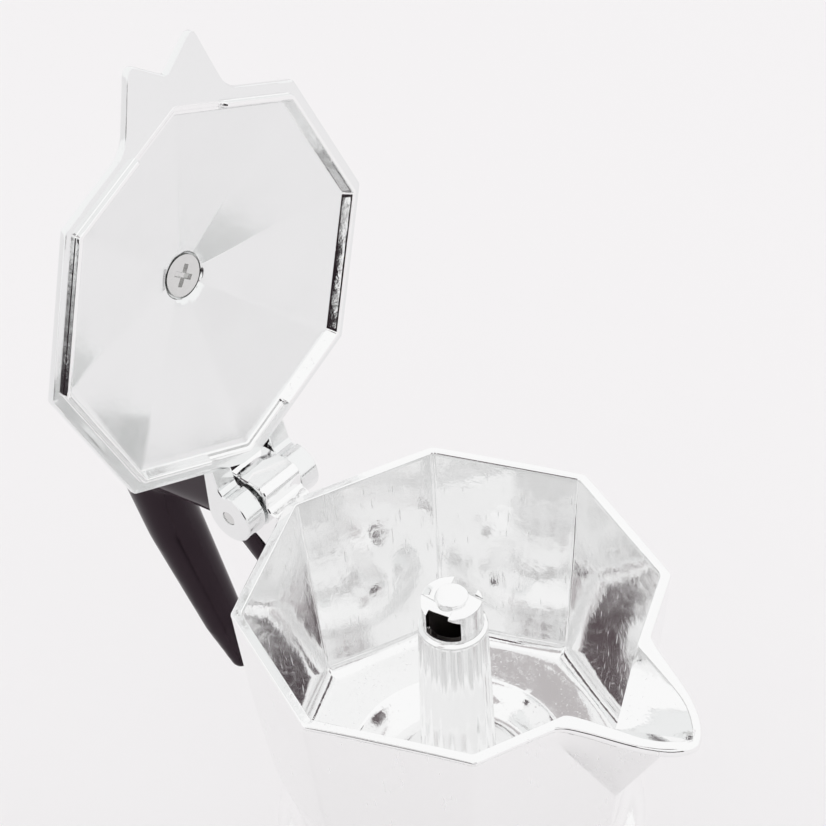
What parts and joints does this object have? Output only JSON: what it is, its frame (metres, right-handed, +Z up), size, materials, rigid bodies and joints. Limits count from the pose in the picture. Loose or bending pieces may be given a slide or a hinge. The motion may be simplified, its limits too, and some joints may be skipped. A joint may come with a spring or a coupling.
{
  "type": "moka pot",
  "caption": "Eight-sided aluminium stove-top coffee pot with a threaded boiler, a spouted collector, a hinged lid shown open and a dark moulded handle.",
  "frame": {"origin": "centre of the boiler's flat base, on the pot's axis", "axes": "+Z up along the pot's axis, +X towards the spout, hinge and handle at -X"},
  "size_m": [0.1414, 0.0908, 0.2247],
  "materials": {
    "cast_aluminium": "polished casting",
    "spun_aluminium": "spun, satin",
    "phenolic": "moulded, semi-gloss",
    "brass": "turned",
    "steel": "plated",
    "silicone": "moulded, matte",
    "seal_rubber": "moulded, matte",
    "fibre": "pressed fibre"
  },
  "bodies": {
    "boiler": {"boiler": "cast_aluminium", "safety_valve_washer": "fibre", "safety_valve_body": "brass", "safety_valve_cap": "brass", "safety_valve_spring": "steel", "funnel_cup": "spun_aluminium", "funnel_sieve": "spun_aluminium", "funnel_tube": "spun_aluminium"},
    "valve_stem": {"safety_valve_stem": "steel", "safety_valve_seal": "seal_rubber"},
    "seal": {"gasket": "silicone", "filter_plate": "spun_aluminium"},
    "collector": {"collector": "cast_aluminium", "column": "cast_aluminium", "handle": "phenolic", "handle_pin": "steel"},
    "lid": {"lid": "cast_aluminium", "hinge_pin": "steel", "lid_knob": "phenolic", "knob_insert": "brass", "knob_screw": "steel"}
  },
  "joints": [
    {"name": "collector_lift", "type": "slide", "parent": "boiler", "child": "seal", "axis": [0, 0, 1], "range_m": [0, 0.00751]},
    {"name": "collector_turn", "type": "hinge", "parent": "seal", "child": "collector", "pos_m": [0, 0, 0.0654], "axis": [0, 0, 1], "range_deg": [0, 900]},
    {"name": "lid_hinge", "type": "hinge", "parent": "collector", "child": "lid", "pos_m": [-0.0463, 0, 0.131], "axis": [0, 1, 0], "range_deg": [0, 97]},
    {"name": "valve_slide", "type": "slide", "parent": "boiler", "child": "valve_stem", "axis": [0.3827, -0.9239, 0], "range_m": [0, 0.0015], "stiffness_N_per_m": 800, "springref_m": -0.002, "deforming": ["safety_valve_spring"]}
  ],
  "couplings": [
    {"joint": "collector_lift", "follows": "collector_turn", "m_per_rad": 0.00047746}
  ]
}
